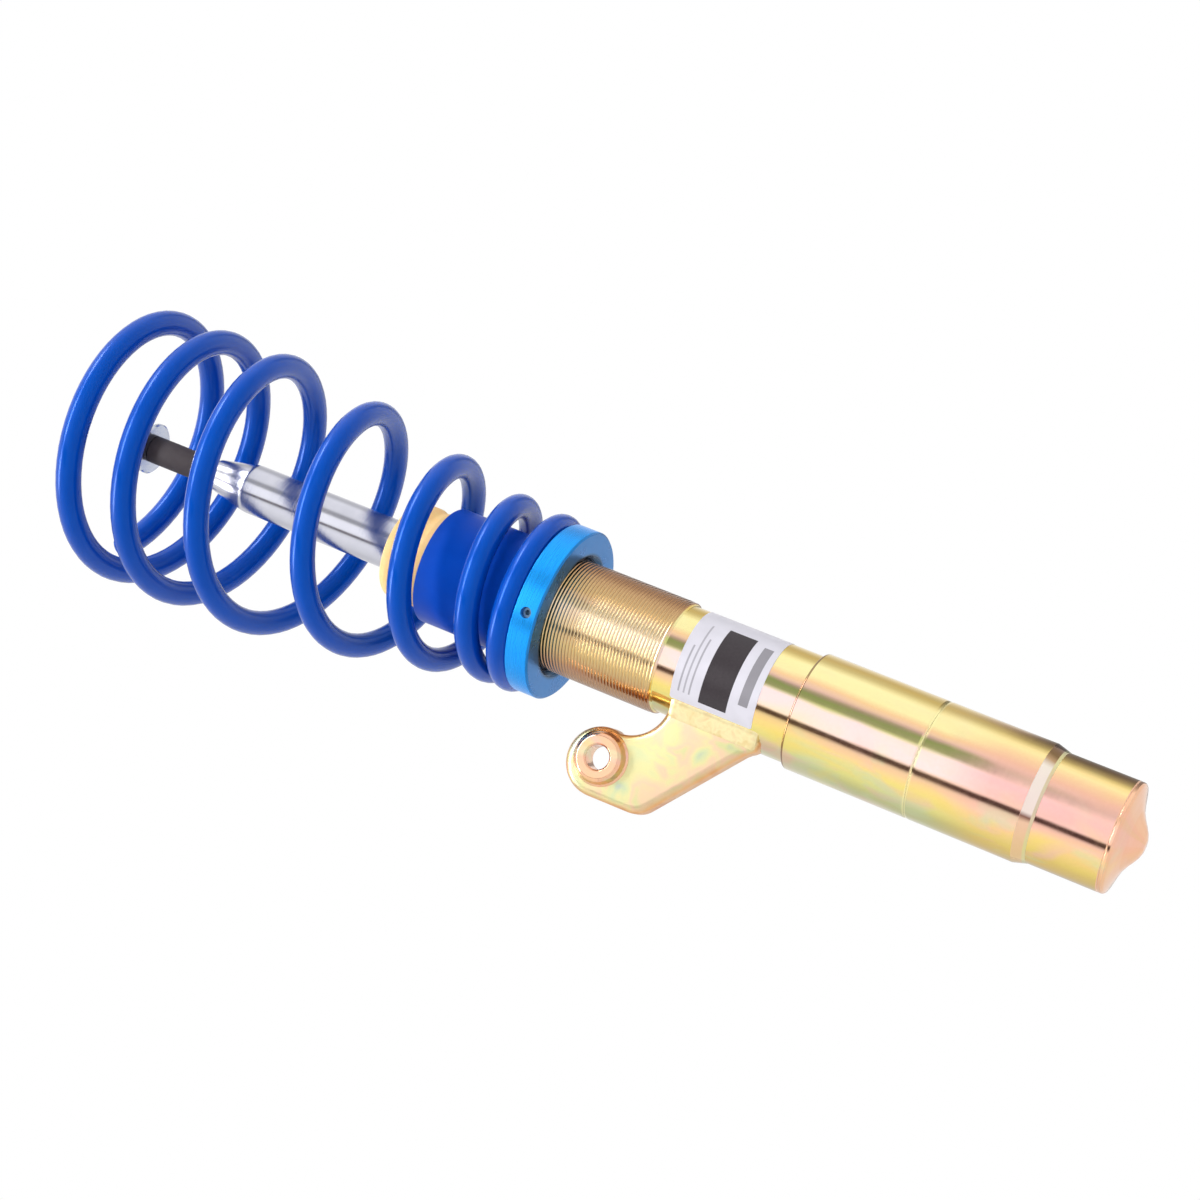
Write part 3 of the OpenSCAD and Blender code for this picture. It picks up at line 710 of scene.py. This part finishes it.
def spring_perch():
    """Anodised ring nut: bevelled edges, seat groove, spigot and the locking screw's hole."""
    seat, spigot_r, inner = PERCH_TOP - 1.05, 28.6, SLEEVE_R + 0.3
    ring = turned("anodised_spring_perch", [
        (THREAD_R + 2.7, PERCH_LOW, 0.2), (PERCH_R - 0.9, PERCH_LOW, 0.2), (PERCH_R, PERCH_LOW + 0.9, 0.2),
        (PERCH_R, PERCH_TOP - 0.8, 0.25), (PERCH_R - 0.5, PERCH_TOP - 0.25, 0.2),
        (PERCH_R - 1.5, seat, 0.4), (spigot_r + 0.5, seat, 0.4),
        (spigot_r, seat + 0.6, 0.2), (spigot_r, PERCH_TOP + 4.6, 0.4),
        (spigot_r - 0.7, PERCH_TOP + 5, 0.2), (inner, PERCH_TOP + 5, 0.2), (inner, PERCH_TOP, 0),
        (THREAD_R + 0.06, PERCH_TOP, 0), (THREAD_R + 0.06, PERCH_LOW + 2.6, 0.1)],
        "perch_ring", LOOKS["blue_anodised"], ["spring_perch"], segs=144, sharp=30)
    a, z = math.radians(261.6), (PERCH_LOW + PERCH_TOP) / 2 - 0.4
    inside, outside = [(r * math.cos(a), r * math.sin(a), z) for r in (23, 42)]
    drill(ring, 2.4, inside, outside, 30)


def sleeve_and_stop():
    """The plastic sleeve inside the lower coils and the foam stop on the rod."""
    turned("blue_spring_sleeve", [
        (THREAD_R + 0.06, PERCH_TOP + 0.1, 0), (SLEEVE_R, PERCH_TOP + 0.1, 0.2),
        (SLEEVE_R, SLEEVE_TOP, 1.0), (THREAD_R + 0.1, SLEEVE_TOP, 0.25)],
        "spring_seat", LOOKS["blue_sleeve"], ["spring_sleeve"])
    low, r, top = STOP_LOW, STOP_R, STOP_LOW + STOP_H
    stop = turned("foam_bump_stop", [
        (ROD_R + 0.06, low, 0), (r - 2.2, low, 1.4), (r, low + 2.6, 2), (r, low + 7.5, 3),
        (r - 1.3, low + 10.6, 2.5), (r, low + 13.8, 3), (r, top - 4, 3), (r - 1.6, top, 2.2),
        (ROD_R + 2.4, top, 1.0), (ROD_R + 0.06, top - 2.0, 0.6)],
        "bump_stop", LOOKS["orange_foam"], ["bump_stop"])


def rod_pieces():
    """Chromed rod with its cone and a threaded neck, and the tube pushed over that neck."""
    turned("chromed_piston_rod", [
        (0, 134, 0), (5.2, 134, 0.3), (6, 134.8, 0.2), (6, 170, 0), (ROD_R - 0.8, 170, 0.3),
        (ROD_R, 170.8, 0.3), (ROD_R, CONE_LOW - 0.6, 12), (7, CONE_TOP, 0.5), (NECK_R, CONE_TOP, 0),
        (NECK_R, ROD_TOP - 1.4, 0.2), (NECK_R - 1.4, ROD_TOP, 0.3), (2.2, ROD_TOP, 0.1),
        (0, ROD_TOP - 1.6, 0)],
        "rod", LOOKS["chrome_rod"], ["piston_rod"], segs=96)
    turned("neck_thread_protector", [
        (NECK_R + 0.02, CONE_TOP + 2, 0.1), (NECK_R + 0.9, CONE_TOP + 2, 0.75),
        (NECK_R + 0.9, 401.95, 0.75), (NECK_R + 0.02, 401.95, 0.1)],
        "rod", LOOKS["black_plastic"], ["thread_protector"], segs=64)


def main_spring():
    """Round-wire barrel coil, wide above and narrow at the perch, with cut ends."""
    first, last, wide, narrow, lean = 0.09, 7.05, 56.2, 34.3, 0.066
    wire_top, wire_low, per_turn, sides = 5.6, 5.1, 66, 20
    # millimetres down per turn, by turns from the upper end
    pitch = [(0, 15), (0.35, 18), (0.75, 26), (1.25, 30.5), (1.75, 28.5), (2.25, 34), (2.75, 48),
             (3.25, 50), (3.75, 48.5), (4.25, 42), (4.75, 36.5), (5.25, 29), (5.75, 22.6),
             (6.15, 24), (6.7, 4), (6.85, 0), (8, 0)]
    # how far the coil has drawn in from wide to narrow, by turns from the upper end
    closing = [(0, 0), (2.5, 0), (3, 0.04), (3.5, 0.25), (4, 0.39), (4.5, 0.64), (5, 0.76),
               (5.5, 0.94), (6, 0.99), (6.3, 1), (8, 1)]
    count = int((last - first) * per_turn)
    turns = [first + i / per_turn for i in range(count + 1)]
    drop = [0.0]
    for turn in turns[1:]:
        drop.append(drop[-1] + lookup(turn - 0.5 / per_turn, pitch) / per_turn)
    rest_z = PERCH_TOP - 0.9 + wire_low          # the wire lies in the seat's groove
    line = []
    for i, turn in enumerate(turns):
        near = [max(first, turn - 0.12 + 0.04 * k) for k in range(7)]
        share = sum(lookup(t, closing) for t in near) / len(near)
        r = wide + (narrow - wide) * share
        a = math.pi - TAU * turn
        line.append(Vector((r * math.cos(a), r * math.sin(a), rest_z + drop[-1] - drop[i])))
    # averaged over a fifth of a turn, so that the tables leave no kinks, then leaned back above
    smooth = [p.copy() for p in line]
    for i in range(6, count - 5):
        smooth[i].z = sum(line[i + k].z for k in range(-6, 7)) / 13
    for point in smooth:
        point.z -= lean * point.y * min(1.0, max(0.0, (point.z - PERCH_TOP - 7) / 60))
    rows = []
    # rings of points round the wire, with small bevels at its cut ends
    for i, point in enumerate(smooth):
        ahead = (smooth[min(i + 1, count)] - smooth[max(i - 1, 0)]).normalized()
        out = Vector((point.x, point.y, 0)).normalized()
        out = (out - ahead * out.dot(ahead)).normalized()
        side = ahead.cross(out)
        wire = wire_top + (wire_low - wire_top) * i / count
        ends = [(point, wire)]
        if i == 0:
            ends = [(point, wire - 0.7), (point + ahead * 0.25, wire - 0.2), (point + ahead * 0.7, wire)]
        elif i == count:
            ends = [(point - ahead * 0.7, wire), (point - ahead * 0.25, wire - 0.2), (point, wire - 0.7)]
        elif i in (1, count - 1):
            ends = [(point + ahead * (0.5 if i == 1 else -0.5), wire)]
        for centre, radius in ends:
            rows.append([centre + (out * math.cos(TAU * j / sides) + side * math.sin(TAU * j / sides))
                         * radius for j in range(sides)])
    bm = bmesh.new()
    made = add_grid(bm, rows, closed_rows=False)
    bm.faces.new(made[0])
    bm.faces.new(made[-1])
    coil = finish_piece(bm, "barrel_coil_spring", "spring_seat",
                        LOOKS["blue_powder_coat"], ["main_spring"], 50)
    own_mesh(coil)


dress_cad_nodes()
damper_tube()
strut_rings()
link_bracket()
link_boss()
bracket_welds()
label()
spring_perch()
sleeve_and_stop()
rod_pieces()
main_spring()


# ---------------------------------------------------------------- floor, light and camera

def studio():
    """Plain pale floor well below the strut."""
    floor_z, half = -1250.0, 30000.0
    bm = bmesh.new()
    add_grid(bm, [[(x, y, floor_z) for x in (-half, 0, half)] for y in (-half, 0, half)],
             closed_rows=False, closed_columns=False)
    mesh = bpy.data.meshes.new("floor")
    bm.to_mesh(mesh)
    bm.free()
    floor = bpy.data.objects.new("floor", mesh)
    bpy.context.scene.collection.objects.link(floor)
    look = Look("floor_paper", roughness=0.9)
    look.drive(base_color=look.mix(look.noise(900.0), srgb(190, 190, 190), srgb(197, 197, 197)))
    mesh.materials.append(look.done())


def tent():
    """A white tent, with the gaps between its soft panels. The camera itself sees it plain white."""
    world = bpy.data.worlds.new("tent")
    bpy.context.scene.world = world
    world.use_nodes = True
    tree = world.node_tree
    tree.nodes.clear()

    def node(kind, inputs=(), **settings):
        return add_node(tree, kind, inputs, **settings)

    def ramp(fac, stops):
        made = node("ShaderNodeValToRGB", {0: fac})
        fill_ramp(made.color_ramp, stops)
        return made.outputs[0]

    def rising(value, start, end):
        return node("ShaderNodeMapRange", {"Value": value, "From Min": start, "From Max": end}).outputs[0]

    def mixed(fac, a, b, blend="MIX"):
        return node("ShaderNodeMix", {0: fac, 6: a, 7: b}, data_type="RGBA", blend_type=blend).outputs[2]

    def panels(azimuth, stops):
        """Brightness round the horizon, where the dark gaps are warm."""
        tints = []
        for degrees, level in stops:
            warm = 0.7 if level < 0.1 else 1.0
            tints.append(((degrees + 180) / 360, (level, level * warm, level * warm * 1.01, 1)))
        return ramp(azimuth, tints)

    direction = node("ShaderNodeTexCoord").outputs["Generated"]
    parts = node("ShaderNodeSeparateXYZ", {0: direction})
    x, y, z = parts.outputs
    back = node("ShaderNodeMath", {0: y, 1: -1.0}, operation="MULTIPLY").outputs[0]
    azimuth = node("ShaderNodeMath", {0: x, 1: back}, operation="ARCTAN2").outputs[0]
    azimuth = rising(azimuth, -math.pi, math.pi)
    # degrees from the camera's side towards +X, and brightness
    upper = panels(azimuth, [
        (-180, 0.95), (-140, 0.80), (-112, 0.80), (-90, 0.96), (-52, 1.12), (-40, 1.05),
        (-36, 0.7), (-33, 0.09), (-26, 0.09), (-22.5, 1.32), (15, 1.32),
        (22, 0.48), (36, 0.44), (46, 1.05), (98, 1.12), (116, 0.72),
        (134, 0.66), (158, 0.95), (180, 0.95)])
    # the same just above the horizon, which the strut's lower end mirrors
    lower = panels(azimuth, [
        (-180, 0.70), (-140, 0.80), (-112, 0.86), (-88, 0.98), (-52, 1.12), (-38, 1.05),
        (-35, 0.7), (-32, 0.07), (-25, 0.07), (-21.5, 1.22), (18, 1.22),
        (30, 0.92), (50, 1.02), (98, 1.10), (116, 0.50), (134, 0.28), (160, 0.30), (180, 0.6)])
    around = mixed(rising(z, 0.178, 0.168), upper, lower)
    # by the sine of the elevation: a narrow row of bright strips overhead, on the camera's side
    strips = [(-0.5, 0.8), (-0.2, 1.0), (0.69, 1.0), (0.71, 14.0), (0.79, 14.0), (0.81, 1.0)]
    gain = ramp(rising(z, -1.0, 1.0), [((sine + 1) / 2, level) for sine, level in strips])
    lit = mixed(rising(y, -0.1, -0.3), around, gain, "MULTIPLY")
    seen = node("ShaderNodeLightPath").outputs["Is Camera Ray"]
    shade = node("ShaderNodeBackground", {"Color": mixed(seen, lit, (1, 1, 1, 1)), "Strength": 1.0})
    out = node("ShaderNodeOutputWorld")
    tree.links.new(shade.outputs[0], out.inputs[0])


def soft_lamp(name, place, aim, size, watts):
    """A rectangular lamp aimed at a point. It lights the strut but isn't mirrored in it."""
    data = bpy.data.lights.new(name, "AREA")
    data.shape = "RECTANGLE"
    data.size, data.size_y = size
    data.energy = watts
    lamp = bpy.data.objects.new(name, data)
    lamp.location = place
    lamp.rotation_euler = (Vector(aim) - Vector(place)).to_track_quat("-Z", "Y").to_euler()
    lamp.visible_glossy = False
    bpy.context.scene.collection.objects.link(lamp)


def camera():
    """Looks along +Y and upwards from the strut's lower end, rolled so that the rod end is upper left."""
    data = bpy.data.cameras.new("camera")
    data.lens = 78.0
    data.sensor_width = 36.0
    data.clip_end = 50.0
    cam = bpy.data.objects.new("camera", data)
    # directions and place fitted to the strut's outlines in the photo
    forward = Vector((0.0100, 0.9384, 0.3455)).normalized()
    right = Vector((0.3725, 0.3171, -0.8722))
    right = (right - forward * right.dot(forward)).normalized()
    up = right.cross(forward)
    turn = Matrix((right, up, -forward)).transposed().to_4x4()
    cam.matrix_world = Matrix.Translation((0.000, -1.021, -0.198)) @ turn
    bpy.context.scene.collection.objects.link(cam)
    bpy.context.scene.camera = cam


studio()
tent()
soft_lamp("key", (0.9, -1.3, 0.9), (0, 0, 0.2), (0.5, 0.9), 7)
soft_lamp("fill", (-1.2, -0.9, -0.1), (0, 0, 0.15), (0.9, 0.9), 3)
camera()
bpy.context.scene.view_settings.view_transform = "Standard"
